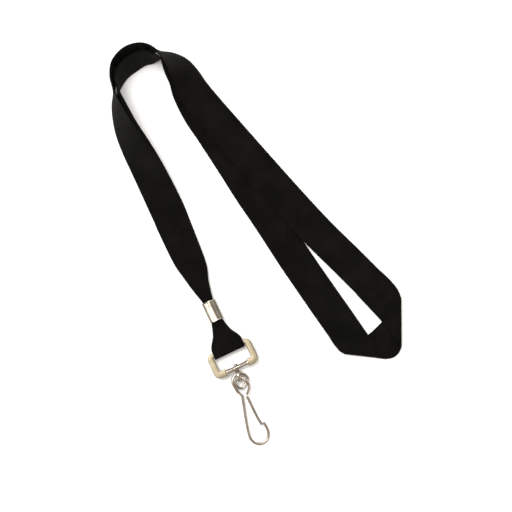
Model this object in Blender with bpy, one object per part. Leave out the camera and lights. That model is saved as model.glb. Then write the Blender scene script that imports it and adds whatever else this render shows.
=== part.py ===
"""Lanyard: a flat woven webbing loop, crimped to a swivel frame that carries a spring-wire hook.

Metres, +Z up. The lanyard lies on the plane Z = 0 with its length along Y. The webbing is one
strip. Its two halves lie on each other up the left leg, turn on edge round the arch, part on
the way down to the neck fold, and are modelled here as stretches that meet end to end.
"""

import math

import bmesh
import bpy
from mathutils import Matrix, Vector

MM = 0.001
GAP = 0.3  # clearance between pieces that move or lie on each other
CUT_MARGIN = 1.0  # how far a tool reaches past the piece that it cuts or joins
ORIGIN_SHIFT = (0.63, 1.19, 0.0)  # puts the origin under the middle of the bounding box

# Webbing, in millimetres
WEB_WIDTH = 19.5
WEB_THICK = 1.0
LAYER_PITCH = WEB_THICK + GAP
PLEAT_WIDTH = 6.0
PLEAT_THICK = 1.2
SECTION_STEP = 4.0

# Crimp sleeve
CRIMP_LENGTH = 12.2
CRIMP_WIDTH = 8.2
CRIMP_HEIGHT = 4.4
CRIMP_WALL = 0.4
CRIMP_ROUND = 1.3
CRIMP_CENTRE = (-25.4, -40.3)
MOUTH_LIFTS = {1: 2.35, -1: 0.75}  # lower face of the upper and the lower layer inside the sleeve

# Swivel frame: a flat ring with a round, waisted bar for the swivel
FRAME_WIDTH = 27.5
FRAME_DEPTH = 15.3
FRAME_HEIGHT = 2.6
FRAME_CORNER = 3.6
FRAME_CHAMFER = 0.5
SIDE_BAR = 3.7
TOP_BAR = 2.6
BOTTOM_BAR = 4.1
WINDOW_CORNER = 0.5
SWIVEL_SEAT = 13.3
SEAT_BAR_RADIUS = 1.5
SEAT_WAIST_RADIUS = 1.15
SEAT_BAR_SQUASH = 1.4
FRAME_CENTRE = (-13.6, -67.9)
FRAME_TURN = math.radians(25.0)

# Swivel eye: a headed post that ends in an eye
HARDWARE_Z = 3.45
POST_RADIUS = 0.9
POST_HOLE_RADIUS = 1.2
HEAD_RADIUS = 1.45
HEAD_HEIGHT = 0.9
NECK_RADIUS = 1.35
EYE_HOLE_RADIUS = 2.4
EYE_RIM = 1.0
EYE_WIDTH = 2.2
EYE_EDGE = 0.35
NECK_REACH = 0.8
EYE_DROP = SEAT_WAIST_RADIUS + GAP + EYE_RIM + EYE_HOLE_RADIUS
SWIVEL_TURN = math.radians(16.5)
SWIVEL_SIDE_PLAY = -0.4

# Spring-wire hook
WIRE_RADIUS = 0.78
WIRE_SIDES = 10
OUTER_TURN_RADIUS = 4.57
INNER_TURN_RADIUS = 3.05
INNER_TURN_DROP = 0.95
COIL_RISE = 0.95
HOOK_TILT = math.radians(3.6)
WIRE_STEP = 1.6
WIRE_END_TAPER = 0.6

# The strip's routes in plan: x, y, lift of the lower face, tilt of the width in degrees, width
FRONT_ROUTE = (
    (-25.5, -40.1, 2.35, 0, PLEAT_WIDTH), (-28.3, -34.2, 2.35, 0, 6.5), (-30.9, -28.9, 2.0, 0, 9.0),
    (-33.5, -23.4, 1.7, 0, 11.9), (-36.6, -15.6, 1.5, 0, 16.1), (-41.0, -6.6, LAYER_PITCH, 0, 18.4),
    (-48.3, 9.7, LAYER_PITCH, 0, WEB_WIDTH), (-52.9, 20.1, LAYER_PITCH, 4, WEB_WIDTH),
    (-63.4, 41.7, LAYER_PITCH, 21, WEB_WIDTH), (-71.2, 55.6, LAYER_PITCH, 38, WEB_WIDTH),
    (-77.0, 66.6, LAYER_PITCH, 53, WEB_WIDTH), (-81.8, 80.0, LAYER_PITCH, 72, WEB_WIDTH),
    (-83.2, 89.5, LAYER_PITCH, 88, WEB_WIDTH), (-83.2, 96.3, LAYER_PITCH, 97, WEB_WIDTH),
    (-80.7, 103.4, LAYER_PITCH, 106, WEB_WIDTH), (-74.8, 109.2, LAYER_PITCH, 109, WEB_WIDTH),
    (-67.2, 112.3, LAYER_PITCH, 102, WEB_WIDTH), (-60.2, 112.4, LAYER_PITCH, 86, WEB_WIDTH),
    (-55.0, 110.2, 2.6, 71, WEB_WIDTH), (-50.3, 107.2, 2.8, 56, WEB_WIDTH),
    (-45.4, 102.6, 2.8, 40, WEB_WIDTH), (-41.4, 96.4, 2.8, 26, WEB_WIDTH),
    (-37.6, 89.7, 2.2, 11, WEB_WIDTH),
    (-29.2, 79.4, 1.5, 2, WEB_WIDTH), (-20.0, 68.8, LAYER_PITCH, 0, WEB_WIDTH),
    (-0.4, 46.3, LAYER_PITCH, 0, WEB_WIDTH), (17.9, 25.6, LAYER_PITCH, 0, WEB_WIDTH),
    (35.6, 6.2, LAYER_PITCH, 0, WEB_WIDTH), (52.6, -10.7, LAYER_PITCH, 0, WEB_WIDTH),
    (65.4, -23.6, LAYER_PITCH, 0, WEB_WIDTH),
)
BACK_ROUTE = (
    (-25.5, -40.1, 0.75, 0, PLEAT_WIDTH), (-28.3, -34.2, 0.75, 0, 6.5), (-30.9, -28.9, 0.5, 0, 9.0),
    (-33.5, -23.4, 0.3, 0, 11.9), (-36.6, -15.6, 0.1, 0, 16.1), (-41.0, -6.6, 0, 0, 18.4),
    (-48.0, 9.8, 0, 0, WEB_WIDTH), (-52.3, 20.3, 0, 4, WEB_WIDTH),
    (-62.6, 41.8, 0, 21, WEB_WIDTH), (-69.6, 55.9, 0, 38, WEB_WIDTH),
    (-74.7, 66.8, 0, 53, WEB_WIDTH), (-79.0, 80.2, 0, 72, WEB_WIDTH),
    (-80.6, 89.3, 0, 89, WEB_WIDTH), (-79.8, 95.2, 0, 100, WEB_WIDTH),
    (-76.8, 100.4, 0, 105, WEB_WIDTH), (-71.6, 104.8, 0, 107, WEB_WIDTH),
    (-66.2, 107.4, 0, 103, WEB_WIDTH), (-61.0, 107.5, 0, 95, WEB_WIDTH),
    (-56.6, 106.2, 0, 81, WEB_WIDTH), (-52.9, 104.0, 0, 62, WEB_WIDTH),
    (-48.3, 100.4, 0, 43, WEB_WIDTH), (-43.5, 95.1, 0, 27, WEB_WIDTH),
    (-39.6, 87.8, 0, 11, WEB_WIDTH),
    (-33.7, 76.9, 0, 2, WEB_WIDTH), (-25.7, 65.0, 0, 0, WEB_WIDTH),
    (-12.7, 44.8, 0, 0, WEB_WIDTH), (-3.5, 30.2, 0, 0, WEB_WIDTH),
    (8.3, 12.7, 0, 0, WEB_WIDTH), (21.9, -8.4, 0, 0, WEB_WIDTH),
    (37.5, -31.4, 0.8, 0, WEB_WIDTH), (47.6, -46.0, LAYER_PITCH, 0, WEB_WIDTH),
)
# Spans of each route that make one solid: first and last route point
FRONT_SPANS = {
    "webbing_front_leg": (0, 11),
    "webbing_front_arch": (11, 22),
    "webbing_front_run": (22, 29),
}
BACK_SPANS = {
    "webbing_back_leg": (0, 11),
    "webbing_back_arch": (11, 22),
    "webbing_back_run": (22, 30),
}

# Neck fold: the strip turns under along one line and comes up again along another
FOLD_RADIUS = LAYER_PITCH / 2
RIGHT_FOLD = ((84.4, -32.6), (84.4, -60.8))
BOTTOM_FOLD = ((50.0, -65.3), (75.6, -68.2))
FOLD_ENTRY = ((72.4, -16.8), (58.4, -30.5))
FOLD_EXIT = ((39.7, -51.7), (55.8, -40.7))
FOLD_STEPS = 6

# Loop below the crimp: distance from the crimp's centre towards the bar, and the strip's width there.
# The last entry is the bend round the bar.
LOOP_WIDTHS = (
    (0.3, 6.0), (6.1, 6.3), (7.2, 7.4), (10.0, 8.8), (14.0, 11.6), (18.0, 16.6), (20.6, 18.8), (23.3, 19.0),
)
LOOP_CLEARANCE = 0.45
LOOP_BEND_RADIUS = FRAME_HEIGHT / 2 + LOOP_CLEARANCE + WEB_THICK / 2
LOOP_LEVEL_RUN = 2.7
LOOP_BEND_STEPS = 8

# Hook wire in its own plane: across and down from the coil's centre
LEG_POINTS = (
    (-1.5, 8.2), (-1.75, 10.5), (-2.1, 14.0), (-2.75, 18.5), (-3.45, 24.5), (-3.85, 29.5), (-3.75, 33.2),
    (-2.4, 36.0), (0.2, 37.6), (3.0, 37.7), (5.6, 36.3), (7.0, 33.8), (7.2, 31.2), (6.75, 28.6), (6.05, 26.2),
)
GATE_POINTS = ((1.1, 8.9), (1.8, 12.5), (2.75, 18.5), (3.75, 23.6), (4.85, 27.6))
EXIT_POINTS = ((3.9, 2.4), (4.0, 4.6), (2.6, 7.0), (1.2, 8.4))
LEAD_POINTS = ((-4.1, 2.4), (-3.2, 5.4))

COLOURS = {
    "webbing": ((0.006, 0.006, 0.006, 1), 0.85, 0.0),
    "crimp": ((0.62, 0.58, 0.50, 1), 0.3, 1.0),
    "frame": ((0.58, 0.50, 0.36, 1), 0.38, 1.0),
    "wire": ((0.50, 0.45, 0.40, 1), 0.25, 1.0),
}


def clear_scene():
    for item in list(bpy.data.objects):
        bpy.data.objects.remove(item, do_unlink=True)


def material(kind):
    found = bpy.data.materials.get(kind)
    if found:
        return found
    colour, roughness, metallic = COLOURS[kind]
    made = bpy.data.materials.new(kind)
    made.use_nodes = True
    shader = made.node_tree.nodes["Principled BSDF"]
    shader.inputs["Base Color"].default_value = colour
    shader.inputs["Roughness"].default_value = roughness
    shader.inputs["Metallic"].default_value = metallic
    return made


def add_object(name, bm, kind, smooth_angle=40.0):
    """Make one object, in metres, from a bmesh in millimetres."""
    bmesh.ops.scale(bm, vec=(MM, MM, MM), verts=bm.verts)
    bmesh.ops.recalc_face_normals(bm, faces=bm.faces)
    mesh = bpy.data.meshes.new(name)
    bm.to_mesh(mesh)
    bm.free()
    mesh.shade_smooth()
    mesh.set_sharp_from_angle(angle=math.radians(smooth_angle))
    mesh.materials.append(material(kind))
    made = bpy.data.objects.new(name, mesh)
    bpy.context.collection.objects.link(made)
    return made


def add_empty(name, location, turn=None, parent=None):
    made = bpy.data.objects.new(name, None)
    bpy.context.collection.objects.link(made)
    made.empty_display_size = 5 * MM
    made.location = Vector(location) * MM
    if turn:
        made.rotation_euler = turn
    made.parent = parent
    return made


def put_on(made, parent, location=(0, 0, 0), turn=(0, 0, 0)):
    made.parent = parent
    made.location = Vector(location) * MM
    made.rotation_euler = turn


def smooth_points(points, step):
    """Points on a Catmull-Rom curve through the given ones, about one step apart."""
    points = [Vector(p) for p in points]
    first = points[0] * 2 - points[1]
    last = points[-1] * 2 - points[-2]
    padded = [first] + points + [last]
    found = []
    for i in range(1, len(padded) - 2):
        before, start, end, after = padded[i - 1:i + 3]
        count = max(1, round((end - start).length / step))
        for k in range(count):
            t = k / count
            found.append(0.5 * (
                2 * start + (end - before) * t
                + (2 * before - 5 * start + 4 * end - after) * t ** 2
                + (3 * start - before - 3 * end + after) * t ** 3))
    return found + [points[-1]]


def bridge_sections(sections, closed=False):
    """Skin equal rings of points, with an end cap on each end of an open row."""
    bm = bmesh.new()
    rings = [[bm.verts.new(p) for p in section] for section in sections]
    pairs = list(zip(rings, rings[1:]))
    if closed:
        pairs.append((rings[-1], rings[0]))
    count = len(rings[0])
    for here, there in pairs:
        for k in range(count):
            bm.faces.new((here[k], here[(k + 1) % count], there[(k + 1) % count], there[k]))
    if not closed:
        bm.faces.new(rings[0])
        bm.faces.new(rings[-1])
    return bm


def strip_section(foot, top, normal, thick):
    """Four corners of the strip, from the two edges of its lower face."""
    return [foot, top, top + normal * thick, foot + normal * thick]


def pleated_thickness(width):
    gathered = (WEB_WIDTH - width) / (WEB_WIDTH - PLEAT_WIDTH)
    return WEB_THICK + (PLEAT_THICK - WEB_THICK) * min(1.0, max(0.0, gathered))


def route_sections(route):
    """Cross-sections of a strip that follows one route, with the index of each route point."""
    spans = []
    marks = [0]
    for i in range(len(route) - 1):
        length = math.hypot(route[i + 1][0] - route[i][0], route[i + 1][1] - route[i][1])
        count = max(1, round(length / SECTION_STEP))
        spans += [(i, k / count) for k in range(count)]
        marks.append(len(spans))
    spans.append((len(route) - 2, 1.0))
    head = tuple(2 * a - b for a, b in zip(route[0], route[1]))
    tail = tuple(2 * a - b for a, b in zip(route[-1], route[-2]))
    padded = [head, *route, tail]

    def blend(i, t):
        columns = zip(*padded[i:i + 4])
        return [0.5 * (2 * b + (c - a) * t + (2 * a - 5 * b + 4 * c - d) * t ** 2
                       + (3 * b - a - 3 * c + d) * t ** 3) for a, b, c, d in columns]

    rows = [blend(i, t) for i, t in spans]
    sections = []
    for k, (x, y, lift, tilt, width) in enumerate(rows):
        behind = rows[max(k - 1, 0)]
        ahead = rows[min(k + 1, len(rows) - 1)]
        heading = Vector((ahead[0] - behind[0], ahead[1] - behind[1], 0)).normalized()
        inward = Vector((heading.y, -heading.x, 0))
        angle = math.radians(max(tilt, 0.0))
        thick = pleated_thickness(width)
        across = inward * math.cos(angle) + Vector((0, 0, math.sin(angle)))
        normal = across.cross(heading)
        drop = max(0.0, -math.cos(angle)) * thick
        height = max(0.0, lift) * max(0.0, math.cos(angle)) + width / 2 * math.sin(angle) + drop
        centre = Vector((x, y, height))
        half = across * width / 2
        sections.append(strip_section(centre - half, centre + half, normal, thick))
    return sections, marks


def trimmed(sections, at_start, at_end):
    """Pull the first and last section in, so that neighbouring stretches keep their gap."""
    kept = [list(section) for section in sections]
    if at_start:
        kept[0] = [a + (b - a).normalized() * GAP / 2 for a, b in zip(sections[0], sections[1])]
    if at_end:
        kept[-1] = [a + (b - a).normalized() * GAP / 2 for a, b in zip(sections[-1], sections[-2])]
    return kept


def build_webbing():
    for route, spans in ((FRONT_ROUTE, FRONT_SPANS), (BACK_ROUTE, BACK_SPANS)):
        sections, marks = route_sections(route)
        for name, (first, last) in spans.items():
            piece = sections[marks[first]:marks[last] + 1]
            add_object(name, bridge_sections(trimmed(piece, True, True)), "webbing")


def fold_bend(line, inward, lower_first):
    """Sections round a fold: each ruling lies along the fold line, shifted round a half circle."""
    foot, top = (Vector((x, y, 0)) for x, y in line)
    inner = FOLD_RADIUS - WEB_THICK / 2
    outer = FOLD_RADIUS + WEB_THICK / 2
    sections = []
    for k in range(FOLD_STEPS + 1):
        angle = math.pi * k / FOLD_STEPS
        rise = -math.cos(angle) if lower_first else math.cos(angle)
        out = -inward * math.sin(angle)
        corners = []
        for point, radius in ((foot, inner), (top, inner), (top, outer), (foot, outer)):
            shift = inward * outer + out * radius + Vector((0, 0, outer + rise * radius))
            corners.append(point + shift)
        sections.append(corners)
    return sections


def build_neck_fold():
    right = fold_bend(RIGHT_FOLD, Vector((-1, 0, 0)), False)
    bottom = fold_bend(BOTTOM_FOLD, Vector((0.1, 0.995, 0)), True)
    upper = Vector((0, 0, LAYER_PITCH))
    entry = [Vector((x, y, 0)) + upper for x, y in FOLD_ENTRY]
    leave = [Vector((x, y, 0)) + upper for x, y in FOLD_EXIT]
    up = Vector((0, 0, 1))
    first = strip_section(entry[0], entry[1], up, WEB_THICK)
    last = strip_section(leave[0], leave[1], up, WEB_THICK)
    sections = [first] + right + bottom + [last]
    add_object("webbing_neck_fold", bridge_sections(sections), "webbing")


def build_hook_loop():
    """The loop below the crimp: over the frame's bar, round it and back into the crimp."""
    crimp = Vector((*CRIMP_CENTRE, 0))
    bar = frame_point(0, -(FRAME_DEPTH - TOP_BAR) / 2)
    reach = (bar - crimp).length
    along = (bar - crimp).normalized()
    across = Vector((math.cos(FRAME_TURN), math.sin(FRAME_TURN), 0))
    sections = []

    def add(distance, height, width, normal, thick):
        middle = crimp + along * distance + Vector((0, 0, height))
        half = across * width / 2
        out = normal * thick / 2
        sections.append([middle - half - out, middle + half - out, middle + half + out, middle - half + out])

    up = Vector((0, 0, 1))

    def run(side, stations):
        for distance, width in stations:
            share = (distance - CRIMP_LENGTH / 2) / (reach - LOOP_LEVEL_RUN - CRIMP_LENGTH / 2)
            share = min(1.0, max(0.0, share))
            mouth = MOUTH_LIFTS[side] + PLEAT_THICK / 2
            level = mouth * (1 - share) + (HARDWARE_Z + side * LOOP_BEND_RADIUS) * share
            add(distance, level, width, up * side, pleated_thickness(width))

    run(1, LOOP_WIDTHS[:-1])
    for k in range(LOOP_BEND_STEPS + 1):
        angle = math.pi / 2 - math.pi * k / LOOP_BEND_STEPS
        normal = along * math.cos(angle) + up * math.sin(angle)
        add(reach + LOOP_BEND_RADIUS * math.cos(angle), HARDWARE_Z + LOOP_BEND_RADIUS * math.sin(angle),
            LOOP_WIDTHS[-1][1], normal, WEB_THICK)
    run(-1, LOOP_WIDTHS[-2::-1])
    add_object("webbing_hook_loop", bridge_sections(sections), "webbing")


def rounded_rectangle(width, depth, radius, steps=5):
    """Outline, counter-clockwise, centred on the origin."""
    points = []
    for quarter, (sx, sy) in enumerate(((1, 1), (-1, 1), (-1, -1), (1, -1))):
        centre = Vector((sx * (width / 2 - radius), sy * (depth / 2 - radius), 0))
        for k in range(steps + 1):
            angle = math.pi / 2 * (quarter + k / steps)
            points.append(centre + Vector((math.cos(angle), math.sin(angle), 0)) * radius)
    return points


def ring_prism(outer, inner, height, chamfer):
    """A closed ring between two outlines with the same number of points, chamfered on all edges."""
    half = Vector((0, 0, height / 2))
    rise = Vector((0, 0, chamfer))
    sections = []
    for a, b in zip(outer, inner):
        shy = (b - a).normalized() * chamfer
        section = [a + shy - half, b - shy - half, b - half + rise, b + half - rise,
                   b - shy + half, a + shy + half, a + half - rise, a - half + rise]
        sections.append(section)
    return bridge_sections(sections, closed=True)


def build_crimp():
    outer = rounded_rectangle(CRIMP_WIDTH, CRIMP_HEIGHT, CRIMP_ROUND)
    inner_width = CRIMP_WIDTH - 2 * CRIMP_WALL
    inner_height = CRIMP_HEIGHT - 2 * CRIMP_WALL
    inner = rounded_rectangle(inner_width, inner_height, CRIMP_ROUND - CRIMP_WALL)
    bm = ring_prism(outer, inner, CRIMP_LENGTH, CRIMP_WALL / 4)
    sleeve = add_object("crimp_sleeve", bm, "crimp")
    sleeve.location = Vector((*CRIMP_CENTRE, CRIMP_HEIGHT / 2)) * MM
    turn = Matrix.Rotation(FRAME_TURN, 3, "Z") @ Matrix.Rotation(math.pi / 2, 3, "X")
    sleeve.rotation_euler = turn.to_euler()


def frame_point(across, down):
    """A point in plan from the frame's own axes: across its width, and down towards the hook."""
    side = Vector((math.cos(FRAME_TURN), math.sin(FRAME_TURN), 0))
    return Vector((*FRAME_CENTRE, 0)) + side * across + Vector((side.y, -side.x, 0)) * down


def turned(profile, sides=24):
    """Turn a profile of (radius, height) pairs about Z. The first and last radius are 0."""
    bm = bmesh.new()
    rings = []
    for radius, height in profile:
        if radius == 0:
            rings.append([bm.verts.new((0, 0, height))])
            continue
        rings.append([bm.verts.new((radius * math.cos(a), radius * math.sin(a), height))
                      for a in (math.tau * k / sides for k in range(sides))])
    for here, there in zip(rings, rings[1:]):
        for k in range(sides):
            corners = [here[k % len(here)], here[(k + 1) % len(here)],
                       there[(k + 1) % len(there)], there[k % len(there)]]
            bm.faces.new(list(dict.fromkeys(corners)))
    return bm


def combine(target, tool, operation):
    """Join or cut with a hidden tool object, which stays in the file as a wire."""
    cut = target.modifiers.new(operation.lower(), "BOOLEAN")
    cut.operation = operation
    cut.solver = "EXACT"
    cut.object = tool
    tool.hide_render = True
    tool.display_type = "WIRE"


def build_frame(pivot):
    """The frame hangs on the loop's bend, so its parent lies on the top bar's axis."""
    to_centre = -(FRAME_DEPTH - TOP_BAR) / 2
    outer = rounded_rectangle(FRAME_WIDTH, FRAME_DEPTH, FRAME_CORNER)
    window_depth = FRAME_DEPTH - TOP_BAR - BOTTOM_BAR
    window = rounded_rectangle(FRAME_WIDTH - 2 * SIDE_BAR, window_depth, WINDOW_CORNER)
    window = [p + Vector((0, (BOTTOM_BAR - TOP_BAR) / 2, 0)) for p in window]
    frame = add_object("swivel_frame", ring_prism(outer, window, FRAME_HEIGHT, FRAME_CHAMFER), "frame")
    put_on(frame, pivot, (0, to_centre, 0))
    seat_y = to_centre - (FRAME_DEPTH - BOTTOM_BAR) / 2

    bm = bmesh.new()
    bmesh.ops.create_cube(bm, size=1)
    size = (SWIVEL_SEAT, BOTTOM_BAR + 2 * CUT_MARGIN, FRAME_HEIGHT + 2 * CUT_MARGIN)
    bmesh.ops.scale(bm, vec=size, verts=bm.verts)
    gap_tool = add_object("seat_cutter", bm, "frame")
    put_on(gap_tool, pivot, (0, seat_y, 0))
    combine(frame, gap_tool, "DIFFERENCE")

    half = SWIVEL_SEAT / 2 + CUT_MARGIN
    waist = [(0, -half), (SEAT_BAR_RADIUS, -half), (SEAT_BAR_RADIUS, -SWIVEL_SEAT / 2)]
    for k in range(-3, 4):
        height = k * SWIVEL_SEAT / 8
        swell = (abs(k) / 4) ** 2
        waist.append((SEAT_WAIST_RADIUS + (SEAT_BAR_RADIUS - SEAT_WAIST_RADIUS) * swell, height))
    waist += [(SEAT_BAR_RADIUS, SWIVEL_SEAT / 2), (SEAT_BAR_RADIUS, half), (0, half)]
    bm = turned(waist)
    bmesh.ops.scale(bm, vec=(SEAT_BAR_SQUASH, 1, 1), verts=bm.verts)
    seat_tool = add_object("seat_bar_tool", bm, "frame")
    put_on(seat_tool, pivot, (0, seat_y, 0), (0, math.pi / 2, 0))
    combine(frame, seat_tool, "UNION")

    reach = BOTTOM_BAR / 2 + CUT_MARGIN
    bm = turned([(0, -reach), (POST_HOLE_RADIUS, -reach), (POST_HOLE_RADIUS, reach), (0, reach)])
    hole_tool = add_object("post_hole_cutter", bm, "frame")
    put_on(hole_tool, pivot, (SWIVEL_SIDE_PLAY, seat_y, 0), (math.pi / 2, 0, 0))
    combine(frame, hole_tool, "DIFFERENCE")
    return seat_y


def build_swivel(pivot):
    """Built with -Y down towards the hook, and the post's centre in the frame's bar at the origin."""
    bar = SEAT_WAIST_RADIUS + GAP
    steps = 4
    dome = [(HEAD_RADIUS * math.cos(a), bar + HEAD_HEIGHT * math.sin(a))
            for a in (math.pi / 2 * k / steps for k in range(steps))]
    profile = [(0, -bar - NECK_REACH), (NECK_RADIUS, -bar - NECK_REACH), (NECK_RADIUS, -bar)]
    profile += [(POST_RADIUS, -bar), (POST_RADIUS, bar)] + dome + [(0, bar + HEAD_HEIGHT)]
    post_tool = add_object("post_tool", turned(profile), "wire")
    put_on(post_tool, pivot, turn=(-math.pi / 2, 0, 0))

    sides = 28
    rim = EYE_HOLE_RADIUS + EYE_RIM
    half = EYE_WIDTH / 2
    soft = EYE_EDGE
    outline = ((EYE_HOLE_RADIUS, -half + soft), (EYE_HOLE_RADIUS + soft, -half), (rim - soft, -half),
               (rim, -half + soft), (rim, half - soft), (rim - soft, half),
               (EYE_HOLE_RADIUS + soft, half), (EYE_HOLE_RADIUS, half - soft))
    sections = [[Vector((offset, radius * math.cos(a) - EYE_DROP, radius * math.sin(a)))
                 for radius, offset in outline] for a in (math.tau * k / sides for k in range(sides))]
    eye = add_object("swivel_eye", bridge_sections(sections, closed=True), "wire")
    put_on(eye, pivot)
    combine(eye, post_tool, "UNION")


def wire_tube(points):
    """Round wire through points, with rings carried along so that they don't twist, and tapered ends."""
    heading = [(points[min(k + 1, len(points) - 1)] - points[max(k - 1, 0)]).normalized()
               for k in range(len(points))]
    side = heading[0].orthogonal().normalized()
    sections = []
    for k, point in enumerate(points):
        side = (side - heading[k] * side.dot(heading[k])).normalized()
        other = heading[k].cross(side)
        radius = WIRE_RADIUS * (WIRE_END_TAPER if k in (0, len(points) - 1) else 1.0)
        sections.append([point + side * radius * math.cos(a) + other * radius * math.sin(a)
                         for a in (math.tau * n / WIRE_SIDES for n in range(WIRE_SIDES))])
    return bridge_sections(sections)


def arc(centre_down, radius, start, end, rise_start, rise_end, step=20.0):
    """Points of a turn in the hook's plane: angles in degrees, 0 down the hook, clockwise to the left."""
    count = max(2, round(abs(end - start) / step))
    points = []
    for k in range(count + 1):
        share = k / count
        angle = math.radians(start + (end - start) * share)
        rise = rise_start + (rise_end - rise_start) * share
        points.append(Vector((-radius * math.sin(angle), -(centre_down + radius * math.cos(angle)), rise)))
    return points


def in_plane(points, rise=0.0):
    return [Vector((x, -down, rise)) for x, down in points]


def build_hook(pivot, gate_pivot, coil_down):
    """The coil, legs and gate. The hook's plane is XY here, with its length along -Y from the eye."""
    leg = list(reversed(in_plane(LEG_POINTS)))
    lead = list(reversed(in_plane(LEAD_POINTS)))
    outer = arc(0, OUTER_TURN_RADIUS, 75, 275, 0, -COIL_RISE)
    inner = arc(INNER_TURN_DROP, INNER_TURN_RADIUS, 350, 630, -COIL_RISE * 0.9, COIL_RISE)
    leave = [Vector((x, -down, rise)) for (x, down), rise in
             zip(EXIT_POINTS, (COIL_RISE, COIL_RISE * 0.75, 0.2, 0.0))]
    route = smooth_points(leg + lead + outer + inner + leave, WIRE_STEP)
    shift = Vector((0, -coil_down, 0))
    hook = add_object("hook_wire", wire_tube([p + shift for p in route]), "wire")
    put_on(hook, pivot)
    root = Vector((GATE_POINTS[0][0], -GATE_POINTS[0][1], 0))
    gate_route = smooth_points(in_plane(GATE_POINTS), WIRE_STEP)
    gate = add_object("gate_wire", wire_tube([p - root for p in gate_route]), "wire")
    gate_pivot.location = (root + shift) * MM
    put_on(gate, gate_pivot)


def build():
    clear_scene()
    build_webbing()
    build_neck_fold()
    build_hook_loop()
    build_crimp()
    bar = frame_point(0, -(FRAME_DEPTH - TOP_BAR) / 2)
    frame_pivot = add_empty("frame_pivot", (bar.x, bar.y, HARDWARE_Z), (0, 0, FRAME_TURN))
    seat_y = build_frame(frame_pivot)
    swivel_pivot = add_empty("swivel_pivot", (SWIVEL_SIDE_PLAY, seat_y, 0),
                             (0, 0, SWIVEL_TURN - FRAME_TURN), frame_pivot)
    build_swivel(swivel_pivot)
    hook_pivot = add_empty("hook_pivot", (0, -EYE_DROP, 0), (HOOK_TILT, 0, 0), swivel_pivot)
    gate_pivot = add_empty("gate_pivot", (0, 0, 0), None, hook_pivot)
    turns_pitch = OUTER_TURN_RADIUS - INNER_TURN_RADIUS + INNER_TURN_DROP
    build_hook(hook_pivot, gate_pivot, OUTER_TURN_RADIUS - turns_pitch / 2)
    for item in bpy.data.objects:
        if not item.parent:
            item.location += Vector(ORIGIN_SHIFT) * MM
    bpy.context.view_layer.update()


build()
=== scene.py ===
"""Looks of the lanyard: woven webbing, crimp sleeve, swivel frame, eye and spring-wire hook.

Lengths below are in millimetres, times MM where they reach Blender. The strip follows the routes of
the CAD solids that it replaces. Only two things differ: its inner layer lies up to 2.1 mm further out
at the right of the arch, and the corners of the neck fold are rounder.
"""

import math

import bmesh
import bpy
from mathutils import Matrix, Vector


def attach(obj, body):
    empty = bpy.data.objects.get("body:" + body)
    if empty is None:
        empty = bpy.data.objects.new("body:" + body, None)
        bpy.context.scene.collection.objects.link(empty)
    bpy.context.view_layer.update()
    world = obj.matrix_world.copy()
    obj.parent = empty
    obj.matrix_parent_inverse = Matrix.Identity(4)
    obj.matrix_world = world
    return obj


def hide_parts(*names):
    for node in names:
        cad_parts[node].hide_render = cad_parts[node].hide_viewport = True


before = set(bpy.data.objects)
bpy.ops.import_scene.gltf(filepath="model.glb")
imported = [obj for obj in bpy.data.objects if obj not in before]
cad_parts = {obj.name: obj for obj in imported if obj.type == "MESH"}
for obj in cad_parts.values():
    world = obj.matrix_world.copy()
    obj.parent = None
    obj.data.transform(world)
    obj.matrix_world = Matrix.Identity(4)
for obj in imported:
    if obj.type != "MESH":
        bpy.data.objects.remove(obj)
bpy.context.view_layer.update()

MM = 0.001
GAP = 0.3
ORIGIN_SHIFT = Vector((0.63, 1.19, 0.0))
STRAP = "strap"

# Webbing
WEB_WIDTH = 19.5
WEB_THICK = 1.0
LAYER_PITCH = WEB_THICK + GAP
PLEAT_WIDTH = 6.0
PLEAT_THICK = 1.2
FINE_STEP = 0.4
COLUMNS = 24
RIB_PITCH = 1.2
RIB_RELIEF = 0.03
SCALLOP = 0.10
SELVEDGE_START = 0.96
PLEATS = 2.0
PLEAT_DEPTH = 0.32
WAVE_DEPTH = 0.12
WAVE_SHORT = 17.0
WAVE_LONG = 41.0
WAVE_SKEW = 2.1
YARN_PITCH = 0.62
YARN_LEAN = 2.4
FRONT_LIFT = 2.35
BACK_LIFT = 0.75

# Crimp sleeve
CRIMP_LENGTH = 12.2
CRIMP_WIDTH = 8.2
CRIMP_HEIGHT = 4.4
CRIMP_WALL = 0.4
CRIMP_ROUND = 1.5
CRIMP_GABLE = 0.30
PRESS_ROWS = (-0.66, -0.48, -0.30, 0.50, 0.72)
PRESS_PITCH = 0.85
PRESS_DEPTH = 0.045
PRESS_WIDTH = 0.06
PRESS_STAGGER = 9
RIDGE_CENTRE = 0.06
RIDGE_HALF = 0.10
RIM_START = 0.90
RIM_SWELL = 0.020
LIP_START = 0.97
LIP_DRAFT = 0.022
CRIMP_WAIST = 0.012
CRIMP_STATIONS = 96
CRIMP_CORNER_STEPS = 12
CRIMP_OUTLINE_STEP = 0.25
CRIMP_CENTRE = (-25.4, -40.3)

# Swivel frame
FRAME_WIDTH = 27.5
FRAME_DEPTH = 15.3
FRAME_HEIGHT = 2.6
FRAME_CORNER = 3.6
FRAME_CHAMFER = 0.5
SIDE_BAR = 3.7
TOP_BAR = 2.6
BOTTOM_BAR = 4.1
WINDOW_CORNER = 0.6
SWIVEL_SEAT = 13.3
SEAT_BAR_RADIUS = 1.5
SEAT_WAIST_RADIUS = 1.15
SEAT_BAR_SQUASH = 1.4
SEAT_RIPPLE = 0.06
SEAT_RIPPLE_PITCH = 1.45
SEAT_BURY = 0.6
SEAT_STEPS = 40
SEAT_Y = -(FRAME_DEPTH - BOTTOM_BAR) / 2
FRAME_CENTRE = (-13.6, -67.9)
FRAME_TURN = math.radians(25.0)
FRAME_SIDE = Vector((math.cos(FRAME_TURN), math.sin(FRAME_TURN), 0))

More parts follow.
